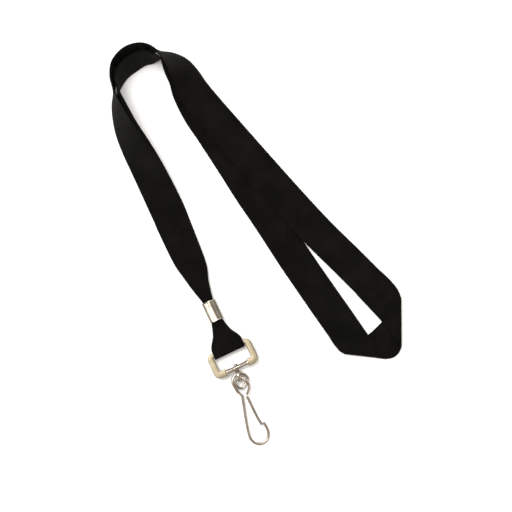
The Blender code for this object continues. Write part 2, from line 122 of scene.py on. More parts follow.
# Swivel eye
HARDWARE_Z = 3.45
POST_RADIUS = 0.9
POST_HOLE_RADIUS = 1.2
HEAD_RADIUS = 1.45
HEAD_HEIGHT = 0.9
HEAD_STEPS = 12
NECK_RADIUS = 1.35
NECK_BEVEL = 0.2
EYE_HOLE_RADIUS = 2.4
EYE_RIM = 1.0
NECK_LENGTH = EYE_RIM * 0.8
EYE_WIDTH = 2.2
EYE_SIDES = 72
EYE_OUTLINE_STEPS = 16
EYE_DROP = SEAT_WAIST_RADIUS + GAP + EYE_RIM + EYE_HOLE_RADIUS
SWIVEL_TURN = math.radians(16.5)
SWIVEL_SIDE_PLAY = -0.4

# Hook
WIRE_RADIUS = 0.78
WIRE_SIDES = 20
WIRE_STEP = 0.45
WIRE_END_SHARES = (0.3, 0.7, 0.92)
WIRE_END_LENGTH = 0.6
OUTER_TURN_RADIUS = 4.57
INNER_TURN_RADIUS = 3.05
INNER_TURN_DROP = 0.95
COIL_RISE = 0.95
OUTER_TURN = (75, 275)
INNER_TURN = (350, 630)
TURN_STEP = 20.0
HOOK_TILT = math.radians(3.6)

# View: a camera nearly over the middle, at the height that makes the lanyard fill its frame
VIEW_DISTANCE = 0.9
VIEW_ELEVATION = math.radians(84.0)
VIEW_WIDTH = 0.2995
VIEW_TARGET = Vector((0.0004, -0.00665, 0.0))
SENSOR = 36.0
EXPOSURE = 0.35

# Floor and light: lamp positions and sizes are in metres
FLOOR_DROP = 0.35
FLOOR_SIZE = 1.6
KEY_PLACE = (-0.45, 0.30, 1.3)
KEY_SIZE = 0.7
KEY_POWER = 14.0
FILL_PLACE = (0.9, -0.5, 0.9)
FILL_SIZE = 0.9
FILL_POWER = 3.0
WORLD_STRENGTH = 1.0
WORLD_SLANT = math.radians(26.0)
# Place of each band across the studio, and its brightness
WORLD_BANDS = (
    (0.25, 0.80), (0.36, 0.32), (0.43, 0.40), (0.455, 1.9), (0.512, 1.9), (0.54, 0.42), (0.68, 0.34),
    (0.80, 0.50), (0.88, 0.80),
)

# The strip's routes in plan: x, y, lift of the lower face, tilt of the width in degrees, width
FRONT_ROUTE = (
    (-25.5, -40.1, FRONT_LIFT, 0, PLEAT_WIDTH), (-28.3, -34.2, FRONT_LIFT, 0, 6.5),
    (-30.9, -28.9, 2.0, 0, 9.0), (-33.5, -23.4, 1.7, 0, 11.9),
    (-36.6, -15.6, 1.5, 0, 16.1), (-41.0, -6.6, LAYER_PITCH, 0, 18.4),
    (-48.3, 9.7, LAYER_PITCH, 0, WEB_WIDTH), (-52.9, 20.1, LAYER_PITCH, 4, WEB_WIDTH),
    (-63.4, 41.7, LAYER_PITCH, 21, WEB_WIDTH), (-71.2, 55.6, LAYER_PITCH, 38, WEB_WIDTH),
    (-77.0, 66.6, LAYER_PITCH, 53, WEB_WIDTH), (-81.8, 80.0, LAYER_PITCH, 72, WEB_WIDTH),
    (-83.2, 89.5, LAYER_PITCH, 88, WEB_WIDTH), (-83.2, 96.3, LAYER_PITCH, 97, WEB_WIDTH),
    (-80.7, 103.4, LAYER_PITCH, 106, WEB_WIDTH), (-74.8, 109.2, LAYER_PITCH, 109, WEB_WIDTH),
    (-67.2, 112.3, LAYER_PITCH, 102, WEB_WIDTH), (-60.2, 112.4, LAYER_PITCH, 86, WEB_WIDTH),
    (-55.0, 110.2, 2.6, 71, WEB_WIDTH), (-50.3, 107.2, 2.8, 56, WEB_WIDTH),
    (-45.4, 102.6, 2.8, 40, WEB_WIDTH), (-41.4, 96.4, 2.8, 26, WEB_WIDTH),
    (-37.6, 89.7, 2.2, 11, WEB_WIDTH),
    (-29.2, 79.4, 1.5, 2, WEB_WIDTH), (-20.0, 68.8, LAYER_PITCH, 0, WEB_WIDTH),
    (-0.4, 46.3, LAYER_PITCH, 0, WEB_WIDTH), (17.9, 25.6, LAYER_PITCH, 0, WEB_WIDTH),
    (35.6, 6.2, LAYER_PITCH, 0, WEB_WIDTH), (52.6, -10.7, LAYER_PITCH, 0, WEB_WIDTH),
    (65.4, -23.6, LAYER_PITCH, 0, WEB_WIDTH),
)
BACK_ROUTE = (
    (-25.5, -40.1, BACK_LIFT, 0, PLEAT_WIDTH), (-28.3, -34.2, BACK_LIFT, 0, 6.5),
    (-30.9, -28.9, 0.5, 0, 9.0), (-33.5, -23.4, 0.3, 0, 11.9),
    (-36.6, -15.6, 0.1, 0, 16.1), (-41.0, -6.6, 0, 0, 18.4),
    (-48.0, 9.8, 0, 0, WEB_WIDTH), (-52.3, 20.3, 0, 4, WEB_WIDTH),
    (-62.6, 41.8, 0, 21, WEB_WIDTH), (-69.6, 55.9, 0, 38, WEB_WIDTH),
    (-74.7, 66.8, 0, 53, WEB_WIDTH), (-79.0, 80.2, 0, 72, WEB_WIDTH),
    (-80.6, 89.3, 0, 89, WEB_WIDTH), (-79.8, 95.2, 0, 100, WEB_WIDTH),
    (-76.8, 100.4, 0, 105, WEB_WIDTH), (-71.6, 104.8, 0, 107, WEB_WIDTH),
    (-66.2, 107.4, 0, 103, WEB_WIDTH), (-61.0, 107.5, 0, 95, WEB_WIDTH),
    (-55.7, 107.7, 0, 77, WEB_WIDTH), (-51.7, 105.7, 0, 59, WEB_WIDTH),
    (-47.5, 101.2, 0, 42, WEB_WIDTH), (-43.0, 95.4, 0, 26, WEB_WIDTH),
    (-39.6, 87.8, 0, 11, WEB_WIDTH),
    (-33.7, 76.9, 0, 2, WEB_WIDTH), (-25.7, 65.0, 0, 0, WEB_WIDTH),
    (-12.7, 44.8, 0, 0, WEB_WIDTH), (-3.5, 30.2, 0, 0, WEB_WIDTH),
    (8.3, 12.7, 0, 0, WEB_WIDTH), (21.9, -8.4, 0, 0, WEB_WIDTH),
    (37.5, -31.4, 0.8, 0, WEB_WIDTH), (47.6, -46.0, LAYER_PITCH, 0, WEB_WIDTH),
)

# Neck fold: the strip turns under along one line and comes up again along another
FOLD_RADIUS = LAYER_PITCH / 2
FOLD_STEPS = 10
RIGHT_FOLD = ((84.4, -32.6), (84.4, -60.8))
RIGHT_INWARD = Vector((-1, 0, 0))
BOTTOM_FOLD = ((51.2, -65.4), (74.9, -68.1))
BOTTOM_INWARD = Vector((0.1, 0.995, 0))
# The level stretches before, between and after the folds: both edges in plan, as x, y, x, y
FOLD_STRETCHES = (
    ((72.4, -16.7, 58.4, -30.7), (77.2, -21.3, 66.0, -38.9), (81.9, -26.9, 73.4, -47.0),
     (84.4, -32.6, 84.4, -60.8)),
    ((84.4, -32.6, 84.4, -60.8), (82.2, -37.3, 83.3, -63.6), (73.0, -46.5, 81.2, -66.1),
     (64.3, -54.6, 78.4, -67.6), (51.2, -65.4, 74.9, -68.1)),
    ((51.2, -65.4, 74.9, -68.1), (48.0, -63.3, 70.0, -61.4), (44.5, -59.0, 65.0, -54.2),
     (42.0, -55.0, 60.3, -47.3), (39.7, -51.7, 55.8, -40.7)),
)

# Loop below the crimp: distance from the crimp's centre to the bar, and the strip's width there
LOOP_WIDTHS = (
    (0.3, 6.0), (6.1, 6.3), (7.2, 7.4), (10.0, 8.8), (14.0, 11.6), (18.0, 16.6), (20.6, 18.8),
    (23.3, 19.0),
)
LOOP_BEND_RADIUS = FRAME_HEIGHT / 2 + 1.5 * GAP + WEB_THICK / 2
LOOP_LEVEL_RUN = 2.7
LOOP_BEND_STEPS = 12

# Hook wire in its own plane: across and down from the coil's centre
LEG_POINTS = (
    (-1.5, 8.2), (-1.75, 10.5), (-2.1, 14.0), (-2.75, 18.5), (-3.45, 24.5), (-3.85, 29.5),
    (-3.75, 33.2), (-2.4, 36.0), (0.2, 37.6), (3.0, 37.7), (5.6, 36.3), (7.0, 33.8), (7.2, 31.2),
    (6.75, 28.6), (6.05, 26.2),
)
GATE_POINTS = ((1.1, 8.9), (1.8, 12.5), (2.75, 18.5), (3.75, 23.6), (4.85, 27.6))
EXIT_POINTS = ((3.9, 2.4), (4.0, 4.6), (2.6, 7.0), (1.2, 8.4))
EXIT_RISES = (COIL_RISE, COIL_RISE * 0.75, 0.2, 0.0)
LEAD_POINTS = ((-4.1, 2.4), (-3.2, 5.4))

UP = Vector((0, 0, 1))
TO_METRES = Matrix.Scale(MM, 4)


# ---------------------------------------------------------------- helpers

def add_object(name, data):
    made = bpy.data.objects.new(name, data)
    bpy.context.scene.collection.objects.link(made)
    return made


def smooth_mesh(name, bm, skin):
    """A smooth mesh with one material from a bmesh, which is used up."""
    bmesh.ops.recalc_face_normals(bm, faces=bm.faces)
    mesh = bpy.data.meshes.new(name)
    bm.to_mesh(mesh)
    bm.free()
    mesh.shade_smooth()
    mesh.materials.append(skin)
    return mesh


def finish_mesh(name, bm, skin, smooth_angle=50.0):
    """Make one shaded object, in metres, from a bmesh in millimetres."""
    bmesh.ops.scale(bm, vec=(MM, MM, MM), verts=bm.verts)
    mesh = smooth_mesh(name, bm, skin)
    mesh.set_sharp_from_angle(angle=math.radians(smooth_angle))
    return add_object(name, mesh)


def placed(location, turn=None):
    """A matrix, in millimetres, that also carries the model's shift to its origin."""
    spin = turn.to_4x4() if turn else Matrix.Identity(4)
    return Matrix.Translation(Vector(location) + ORIGIN_SHIFT) @ spin


def bridge_rings(bm, rings, closed=False):
    """Skin equal rings of vertices, with a cap on each end of an open row."""
    pairs = list(zip(rings, rings[1:]))
    if closed:
        pairs.append((rings[-1], rings[0]))
    count = len(rings[0])
    for here, there in pairs:
        for k in range(count):
            bm.faces.new((here[k], here[(k + 1) % count], there[(k + 1) % count], there[k]))
    if not closed:
        bm.faces.new(rings[0])
        bm.faces.new(rings[-1])


def bridge_sections(sections, closed=False):
    """The same from equal rings of points, as a new bmesh."""
    bm = bmesh.new()
    bridge_rings(bm, [[bm.verts.new(p) for p in section] for section in sections], closed)
    return bm


def extended(keys):
    """A row of number tuples with one more on each end, straight on."""
    return [[2 * a - b for a, b in zip(keys[0], keys[1])], *keys,
            [2 * a - b for a, b in zip(keys[-1], keys[-2])]]


def spline_value(a, b, c, d, t):
    """A value between b and c on a Catmull-Rom curve through four."""
    return 0.5 * (2 * b + (c - a) * t + (2 * a - 5 * b + 4 * c - d) * t ** 2
                  + (3 * b - a - 3 * c + d) * t ** 3)


def smooth_points(points, step):
    """Points on a Catmull-Rom curve through the given ones, about one step apart."""
    points = [Vector(p) for p in points]
    padded = [points[0] * 2 - points[1]] + points + [points[-1] * 2 - points[-2]]
    found = []
    for i in range(1, len(padded) - 2):
        a, b, c, d = padded[i - 1:i + 3]
        count = max(1, round((c - b).length / step))
        found += [spline_value(a, b, c, d, k / count) for k in range(count)]
    return found + [points[-1]]


def resampled(points, count):
    """The same closed outline with a given number of points."""
    found = []
    for k in range(count):
        place = k * len(points) / count
        i = int(place)
        found.append(points[i].lerp(points[(i + 1) % len(points)], place - i))
    return found


def rounded_rectangle(width, depth, radius, steps=10):
    """Its outline in plan about the origin."""
    points = []
    for quarter, (sx, sy) in enumerate(((1, 1), (-1, 1), (-1, -1), (1, -1))):
        centre = Vector((sx * (width / 2 - radius), sy * (depth / 2 - radius), 0))
        for k in range(steps + 1):
            angle = math.pi / 2 * (quarter + k / steps)
            points.append(centre + Vector((math.cos(angle), math.sin(angle), 0)) * radius)
    return points


def turned(profile):
    """Turn a profile of (radius, height) pairs about Z. The first and last radius are 0."""
    sides = 48
    bm = bmesh.new()
    rings = []
    for radius, height in profile:
        if radius == 0:
            rings.append([bm.verts.new((0, 0, height))])
            continue
        rings.append([bm.verts.new((radius * math.cos(a), radius * math.sin(a), height))
                      for a in (math.tau * k / sides for k in range(sides))])
    for here, there in zip(rings, rings[1:]):
        for k in range(sides):
            corners = [here[k % len(here)], here[(k + 1) % len(here)],
                       there[(k + 1) % len(there)], there[k % len(there)]]
            bm.faces.new(list(dict.fromkeys(corners)))
    return bm


def boolean(target, bm, operation):
    """Join or cut the target with a tool given as a bmesh in metres, and keep only the result."""
    tool = add_object("tool", smooth_mesh("tool", bm, target.data.materials[0]))
    change = target.modifiers.new("change", "BOOLEAN")
    change.operation = operation
    change.solver = "EXACT"
    change.object = tool
    bpy.context.view_layer.update()
    changed = target.evaluated_get(bpy.context.evaluated_depsgraph_get())
    result = bpy.data.meshes.new_from_object(changed)
    target.modifiers.remove(change)
    target.data = result
    bpy.data.objects.remove(tool, do_unlink=True)
    result.set_sharp_from_angle(angle=math.radians(35.0))


def moved(bm, matrix):
    bmesh.ops.transform(bm, matrix=matrix, verts=bm.verts)
    return bm


# ---------------------------------------------------------------- materials

class Skin:
    """A Principled material with short helpers for its procedural nodes."""

    def __init__(self, name, colour, roughness, metallic=0.0, **sockets):
        self.material = bpy.data.materials.new(name)
        self.material.use_nodes = True
        self.tree = self.material.node_tree
        self.shader = self.tree.nodes["Principled BSDF"]
        self.shader.inputs["Base Color"].default_value = (*colour, 1)
        self.shader.inputs["Roughness"].default_value = roughness
        self.shader.inputs["Metallic"].default_value = metallic
        for key, value in sockets.items():
            self.shader.inputs[key.replace("_", " ")].default_value = value

    def node(self, kind, settings=(), **inputs):
        made = self.tree.nodes.new(kind)
        for key, value in dict(settings).items():
            setattr(made, key, value)
        for key, value in inputs.items():
            self.feed(made.inputs[key.replace("_", " ")], value)
        return made

    def feed(self, socket, value):
        if isinstance(value, bpy.types.NodeSocket):
            self.tree.links.new(value, socket)
        else:
            socket.default_value = value

    def math(self, operation, first, second=0.0):
        made = self.node("ShaderNodeMath", {"operation": operation})
        self.feed(made.inputs[0], first)
        self.feed(made.inputs[1], second)
        return made.outputs[0]

    def ramp(self, value, low, high, dark, light):
        made = self.node("ShaderNodeValToRGB")
        self.feed(made.inputs[0], value)
        made.color_ramp.elements[0].position = low
        made.color_ramp.elements[0].color = (*dark, 1)
        made.color_ramp.elements[1].position = high
        made.color_ramp.elements[1].color = (*light, 1)
        return made.outputs["Color"]

    def bump(self, height, strength, distance):
        made = self.node("ShaderNodeBump", Strength=strength, Distance=distance, Height=height)
        self.tree.links.new(made.outputs[0], self.shader.inputs["Normal"])

    def noise(self, vector, scale, detail):
        made = self.node("ShaderNodeTexNoise", Vector=vector, Scale=scale, Detail=detail)
        return made.outputs["Fac"]


def webbing_skin():
    """Black polyester: cross ribs over fine warp yarns, in strip coordinates (millimetres). Its colour
    carries a painted shade, darker in the rib valleys, over a slow random tone.
    """
    skin = Skin("webbing_weave", (0.008, 0.008, 0.0075), 0.82, 0.0,
                Sheen_Weight=0.01, Sheen_Roughness=0.5, Specular_IOR_Level=0.05)
    strip = skin.node("ShaderNodeUVMap", {"uv_map": "strip"}).outputs[0]
    parts = skin.node("ShaderNodeSeparateXYZ", Vector=strip)
    across, along = parts.outputs[0], parts.outputs[1]
    rib = skin.math("SINE", skin.math("MULTIPLY", along, math.tau / RIB_PITCH))
    lean = skin.math("ADD", skin.math("MULTIPLY", across, math.tau / YARN_PITCH),
                     skin.math("MULTIPLY", along, math.tau / YARN_LEAN))
    yarn = skin.math("SINE", lean)
    weave = skin.math("ADD", skin.math("MULTIPLY", rib, 0.55), skin.math("MULTIPLY", yarn, 0.45))
    fuzz = skin.noise(strip, 3.2, 3.0)
    patch = skin.noise(strip, 0.06, 2.0)
    height = skin.math("ADD", weave, skin.math("MULTIPLY", fuzz, 0.5))
    # Painted shade: the base colour follows the weave's height, darker in the rib valleys, plus a slow
    # random tone from the patch noise
    tone = skin.math("ADD", skin.math("MULTIPLY", weave, 0.38), patch)
    colour = skin.ramp(tone, 0.20, 1.0, (0.0004, 0.0004, 0.0004), (0.0072, 0.0066, 0.0050))
    skin.tree.links.new(colour, skin.shader.inputs["Base Color"])
    rough = skin.math("ADD", skin.math("MULTIPLY", fuzz, 0.16), 0.70)
    skin.tree.links.new(rough, skin.shader.inputs["Roughness"])
    skin.bump(height, 0.8, 0.00022)
    return skin.material


def metal_skin(name, colour, worn, roughness, spread, grain, grain_depth):
    """Plated metal: slow tone changes, fine handling scratches and a little orange peel."""
    skin = Skin(name, colour, roughness, 1.0)
    place = skin.node("ShaderNodeTexCoord").outputs["Object"]
    slow = skin.noise(place, 260.0, 3.0)
    stretch = skin.node("ShaderNodeMapping", Vector=place, Scale=(1.0, 0.18, 1.0))
    scratch = skin.noise(stretch.outputs[0], grain, 6.0)
    colour_out = skin.ramp(slow, 0.32, 0.68, worn, colour)
    skin.tree.links.new(colour_out, skin.shader.inputs["Base Color"])
    rough = skin.math("ADD", skin.math("MULTIPLY", scratch, spread), roughness - spread / 2)
    skin.tree.links.new(rough, skin.shader.inputs["Roughness"])
    skin.bump(scratch, 0.35, grain_depth)
    return skin.material


# ---------------------------------------------------------------- webbing

class Row:
    """One cross-section of the strip: both edges of its lower face, and how far along each of them is."""

    def __init__(self, foot, top, normal, thick, width, along=None):
        self.foot, self.top, self.normal = foot, top, normal
        self.thick, self.width, self.along = thick, width, along


def pleated_thickness(width):
    """The strip is thicker where it is gathered."""
    gathered = (WEB_WIDTH - width) / (WEB_WIDTH - PLEAT_WIDTH)
    return WEB_THICK + (PLEAT_THICK - WEB_THICK) * min(1.0, max(0.0, gathered))


def route_rows(route):
    """Rows of the strip along one route, close enough together for its weave."""
    padded = extended(route)
    places = []
    for i in range(len(route) - 1):
        length = math.hypot(route[i + 1][0] - route[i][0], route[i + 1][1] - route[i][1])
        count = max(1, round(length / FINE_STEP))
        for k in range(count + (i == len(route) - 2)):
            places.append([spline_value(*four, k / count) for four in zip(*padded[i:i + 4])])
    rows = []
    travelled = 0.0
    for k, (x, y, lift, tilt, width) in enumerate(places):
        behind, ahead = places[max(k - 1, 0)], places[min(k + 1, len(places) - 1)]
        heading = Vector((ahead[0] - behind[0], ahead[1] - behind[1], 0)).normalized()
        inward = Vector((heading.y, -heading.x, 0))
        angle = math.radians(max(tilt, 0.0))
        thick = pleated_thickness(width)
        across = inward * math.cos(angle) + Vector((0, 0, math.sin(angle)))
        # Past upright the upper face looks down, so the section rises by its thickness
        drop = max(0.0, -math.cos(angle)) * thick
        height = max(0.0, lift) * max(0.0, math.cos(angle)) + width / 2 * math.sin(angle) + drop
        centre = Vector((x, y, height))
        if k:
            travelled += math.hypot(x - places[k - 1][0], y - places[k - 1][1])
        rows.append(Row(centre - across * width / 2, centre + across * width / 2,
                        across.cross(heading), thick, width, (travelled, travelled)))
    return rows


def bend_rows(line, inward, lower_first):
    """Rows round a fold, whose rulings all lie along the fold line."""
    inner, outer = FOLD_RADIUS - WEB_THICK / 2, FOLD_RADIUS + WEB_THICK / 2
    rows = []
    for k in range(FOLD_STEPS + 1):
        angle = math.pi * k / FOLD_STEPS
        rise = -math.cos(angle) if lower_first else math.cos(angle)
        out = -inward * math.sin(angle) + Vector((0, 0, rise))
        shift = inward * outer + Vector((0, 0, outer)) + out * inner
        foot, top = (Vector((x, y, 0)) + shift for x, y in line)
        rows.append(Row(foot, top, out, WEB_THICK, WEB_WIDTH))
    return rows


def level_rows(keys, height, normal):
    """Rows over one level stretch, through key positions of both edges."""
    padded = extended(keys)
    rows = []
    for i in range(len(keys) - 1):
        here, there = keys[i], keys[i + 1]
        reach = max(math.hypot(there[0] - here[0], there[1] - here[1]),
                    math.hypot(there[2] - here[2], there[3] - here[3]))
        count = max(1, round(reach / FINE_STEP))
        for k in range(count):
            x, y, far_x, far_y = (spline_value(*four, k / count) for four in zip(*padded[i:i + 4]))
            foot, top = Vector((x, y, height)), Vector((far_x, far_y, height))
            rows.append(Row(foot, top, normal, WEB_THICK, WEB_WIDTH))
    return rows


def fold_rows():
    """The neck fold: level, under at the right, level face down, up at the bottom and level again."""
    before, between, after = FOLD_STRETCHES
    rows = level_rows(before, LAYER_PITCH, UP)
    rows += bend_rows(RIGHT_FOLD, RIGHT_INWARD, False)
    rows += level_rows(between, WEB_THICK, -UP)[1:]
    rows += bend_rows(BOTTOM_FOLD, BOTTOM_INWARD, True)
    return rows + level_rows(after, LAYER_PITCH, UP)[1:]


def strip_rows():
    """The whole strip: out along the front route, round the two folds and home along the back one."""
    rows = route_rows(FRONT_ROUTE)
    for row in fold_rows():
        last = rows[-1]
        row.along = (last.along[0] + (row.foot - last.foot).length,
                     last.along[1] + (row.top - last.top).length)
        rows.append(row)
    back = route_rows(BACK_ROUTE)
    length = back[-1].along[0]
    joined = sum(rows[-1].along) / 2
    for row in reversed(back):
        place = joined + length - row.along[0]
        rows.append(Row(row.top, row.foot, row.normal, row.thick, row.width, (place, place)))
    return rows


def loop_rows():
    """The loop below the crimp, over the frame's bar, round it and back into the crimp."""
    crimp = Vector((*CRIMP_CENTRE, 0))
    bar = frame_point(0, -(FRAME_DEPTH - TOP_BAR) / 2)
    reach = (bar - crimp).length
    down = (bar - crimp).normalized()
    mouths = {1: FRONT_LIFT + PLEAT_THICK / 2, -1: BACK_LIFT + PLEAT_THICK / 2}
    stations = smooth_points([(distance, width, 0) for distance, width in LOOP_WIDTHS], FINE_STEP)
    rows = []

    def add(distance, height, width, normal, thick):
        middle = crimp + down * distance + UP * height - normal * thick / 2
        half = FRAME_SIDE * width / 2
        rows.append(Row(middle - half, middle + half, normal, thick, width))

    def run(direction, places):
        """One layer between the crimp's mouth and the bend: over the bar for 1, under it for -1."""
        for distance, width, _ in places:
            share = (distance - CRIMP_LENGTH / 2) / (reach - LOOP_LEVEL_RUN - CRIMP_LENGTH / 2)
            share = min(1.0, max(0.0, share))
            share = share * share * (3 - 2 * share)
            bend = HARDWARE_Z + direction * LOOP_BEND_RADIUS
            add(distance, mouths[direction] * (1 - share) + bend * share, width, UP * direction,
                pleated_thickness(width))

    run(1, [place for place in stations if place.x < reach])
    for k in range(LOOP_BEND_STEPS + 1):
        angle = math.pi / 2 - math.pi * k / LOOP_BEND_STEPS
        normal = down * math.cos(angle) + UP * math.sin(angle)
        add(reach + LOOP_BEND_RADIUS * math.cos(angle), HARDWARE_Z + LOOP_BEND_RADIUS * math.sin(angle),
            LOOP_WIDTHS[-1][1], normal, WEB_THICK)
    run(-1, [place for place in reversed(stations) if place.x < reach])
    rows[0].along = (0.0, 0.0)
    for before, row in zip(rows, rows[1:]):
        place = before.along[0] + ((row.foot + row.top) / 2 - (before.foot + before.top) / 2).length
        row.along = (place, place)
    return rows


def strip_outline():
    """Shares of the width and thickness round one section, with rounded selvedges."""
    edge = 0.5 * WEB_THICK / WEB_WIDTH
    columns = [edge + (1 - 2 * edge) * k / COLUMNS for k in range(COLUMNS + 1)]
    turns = [math.radians(a) for a in (-60, -30, 0, 30, 60)]
    far = [(1 - edge + edge * math.cos(a), 0.5 + 0.5 * math.sin(a)) for a in turns]
    near = [(edge - edge * math.cos(a), 0.5 - 0.5 * math.sin(a)) for a in turns]
    return [(u, 0.0) for u in columns] + far + [(u, 1.0) for u in reversed(columns)] + near


def weave_offset(share, row, along):
    """How far the fabric leaves its flat shape here: pleats where it is gathered, a soft wave elsewhere."""
    gathered = max(0.0, 1.0 - row.width / WEB_WIDTH)
    pleat = PLEAT_DEPTH * gathered * math.cos(math.tau * PLEATS * (share - 0.5))
    wave = WAVE_DEPTH * (1 - gathered) * math.sin(along / WAVE_SHORT + WAVE_SKEW * share)
    return pleat + wave * math.sin(along / WAVE_LONG)


def build_strip(name, rows, skin):
    """A ribbed strip over the rows, with coordinates for its weave, and its flat length in metres."""
    outline = strip_outline()
    bm = bmesh.new()
    strip = bm.loops.layers.uv.new("strip")
    rings = []
    places = {}
    for row in rows:
        ring = []
        for share, depth in outline:
            along = row.along[0] + (row.along[1] - row.along[0]) * share
            out = abs(share - 0.5) * 2
            rib = math.sin(math.tau * along / RIB_PITCH)
            spread = 1 + 2 * SCALLOP * rib / row.width * (out > SELVEDGE_START)
            ruling = row.foot + (row.top - row.foot) * (0.5 + (share - 0.5) * spread)
            relief = weave_offset(share, row, along) + RIB_RELIEF * rib * (depth - 0.5) * 2
            vert = bm.verts.new(ruling + row.normal * (row.thick * depth + relief))
            places[vert] = (share * WEB_WIDTH, along)
            ring.append(vert)
        rings.append(ring)
    bridge_rings(bm, rings)
    for face in bm.faces:
        for loop in face.loops:
            loop[strip].uv = places[loop.vert]
    bmesh.ops.translate(bm, vec=ORIGIN_SHIFT, verts=bm.verts)
    start, end = rows[0].along, rows[-1].along
    return finish_mesh(name, bm, skin), (end[0] + end[1] - start[0] - start[1]) / 2 * MM


# ---------------------------------------------------------------- crimp, frame, eye and hook

def frame_point(across, down):
    """A point in plan from the frame's own axes: across its width, and down towards the hook."""
    down_axis = Vector((FRAME_SIDE.y, -FRAME_SIDE.x, 0))
    return Vector((*FRAME_CENTRE, 0)) + FRAME_SIDE * across + down_axis * down


def crimp_outline(inset):
    """The sleeve's rounded section, with points close enough together for its ridge and press marks."""
    points = rounded_rectangle(CRIMP_WIDTH - 2 * inset, CRIMP_HEIGHT - 2 * inset, CRIMP_ROUND - inset,
                               CRIMP_CORNER_STEPS)
    dense = []
    for a, b in zip(points, points[1:] + points[:1]):
        count = max(1, round((b - a).length / CRIMP_OUTLINE_STEP))
        dense += [a.lerp(b, k / count) for k in range(count)]
    return dense


def build_crimp(skin):
    """The sleeve: pressed flats on either side of a ridge, rolled rims and two rows of press marks."""
    outer, inner = crimp_outline(0.0), crimp_outline(CRIMP_WALL)
    stations = [-1 + 2 * k / CRIMP_STATIONS for k in range(CRIMP_STATIONS + 1)]
    sections = []

    def ring(z, swell, facets):
        """The outer section at one height. Facets is 1 on the pressed flats and 0 at the rims."""
        found = []
        for p in outer:
            x, y = p.x * swell, p.y * swell
            across = p.x / (CRIMP_WIDTH / 2)
            if facets:
                y *= 1 - facets * CRIMP_GABLE * max(0.0, abs(across - RIDGE_CENTRE) - RIDGE_HALF)
                for row in PRESS_ROWS:
                    mark = math.exp(-((across - row) / PRESS_WIDTH) ** 2)
                    beat = math.cos(z * math.tau / PRESS_PITCH + PRESS_STAGGER * row)
                    y *= 1 - PRESS_DEPTH * mark * max(0.0, beat) ** 2
            found.append(Vector((x, y, z)))
        return found

    for s in stations:
        rim = max(0.0, (abs(s) - RIM_START) / 0.10)
        lip = 1 - LIP_DRAFT * max(0.0, (abs(s) - LIP_START) / 0.03) ** 2
        swell = (1 + RIM_SWELL * math.sin(rim * math.pi / 2)) * lip * (1 - CRIMP_WAIST * (1 - s * s))
        sections.append(ring(s * CRIMP_LENGTH / 2, min(swell, 1 + RIM_SWELL), 1 - rim))
    bore = resampled(inner, len(outer))
    for s in (1.0, 0.5, 0.0, -0.5, -1.0):
        sections.append([Vector((p.x, p.y, s * CRIMP_LENGTH / 2)) for p in bore])
    bm = bridge_sections(sections, closed=True)
    turn = Matrix.Rotation(FRAME_TURN, 3, "Z") @ Matrix.Rotation(math.pi / 2, 3, "X")
    moved(bm, placed((*CRIMP_CENTRE, CRIMP_HEIGHT / 2), turn))
    return finish_mesh("sleeve", bm, skin, 60.0)


def ring_solid(outer, inner, height, chamfer):
    """A closed ring between two outlines with the same number of points, with rounded edges."""
    steps = 4
    sections = []
    for a, b in zip(outer, inner):
        shy = (b - a).normalized()
        section = []
        for base, away, sign in ((b, -shy, -1), (b, -shy, 1), (a, shy, 1), (a, shy, -1)):
            corner = base + away * chamfer + Vector((0, 0, sign * (height / 2 - chamfer)))
            bend = [corner - away * chamfer * math.cos(t) + Vector((0, 0, sign * chamfer * math.sin(t)))
                    for t in (math.pi / 2 * k / steps for k in range(steps + 1))]
            starts_flat = (base is b) == (sign < 0)
            section += reversed(bend) if starts_flat else bend
        sections.append(section)
    return bridge_sections(sections, closed=True)


def build_frame(skin, bright):
    """The ring, its seat for the swivel cut away, and the round waisted bar left in the seat."""
    turn = Matrix.Rotation(FRAME_TURN, 3, "Z")
    centre = frame_point(0, 0)
    base = placed((centre.x, centre.y, HARDWARE_Z), turn)
    seat = base @ Matrix.Translation((0, SEAT_Y, 0))
    outer = rounded_rectangle(FRAME_WIDTH, FRAME_DEPTH, FRAME_CORNER)
    window = rounded_rectangle(FRAME_WIDTH - 2 * SIDE_BAR, FRAME_DEPTH - TOP_BAR - BOTTOM_BAR,
                               WINDOW_CORNER)
    window = [p + Vector((0, (BOTTOM_BAR - TOP_BAR) / 2, 0)) for p in window]
    bm = ring_solid(outer, window, FRAME_HEIGHT, FRAME_CHAMFER)
    made = finish_mesh("ring", moved(bm, base), skin, 35.0)

    bm = bmesh.new()
    bmesh.ops.create_cube(bm, size=1)
    bmesh.ops.scale(bm, vec=(SWIVEL_SEAT, BOTTOM_BAR + 2, FRAME_HEIGHT + 2), verts=bm.verts)
    boolean(made, moved(bm, TO_METRES @ seat), "DIFFERENCE")

    half = SWIVEL_SEAT / 2
    waist = [(0, -half - SEAT_BURY), (SEAT_BAR_RADIUS, -half - SEAT_BURY)]
    for k in range(-SEAT_STEPS, SEAT_STEPS + 1):
        height = k * half / SEAT_STEPS
        radius = SEAT_WAIST_RADIUS + (SEAT_BAR_RADIUS - SEAT_WAIST_RADIUS) * (abs(k) / SEAT_STEPS) ** 2
        if abs(height) > POST_HOLE_RADIUS + 0.6:
            radius += SEAT_RIPPLE * math.cos(math.tau * height / SEAT_RIPPLE_PITCH)
        waist.append((radius, height))
    waist += [(SEAT_BAR_RADIUS, half + SEAT_BURY), (0, half + SEAT_BURY)]
    bm = turned(waist)
    bmesh.ops.scale(bm, vec=(SEAT_BAR_SQUASH, 1, 1), verts=bm.verts)
    moved(bm, seat @ Matrix.Rotation(math.pi / 2, 4, "Y"))
    bar = finish_mesh("seat_bar", bm, bright, 45.0)
    hole = turned([(0, -4), (POST_HOLE_RADIUS, -4), (POST_HOLE_RADIUS, 4), (0, 4)])
    to_post = Matrix.Translation((SWIVEL_SIDE_PLAY, 0, 0)) @ Matrix.Rotation(math.pi / 2, 4, "X")
    boolean(bar, moved(hole, TO_METRES @ seat @ to_post), "DIFFERENCE")
    return made, bar


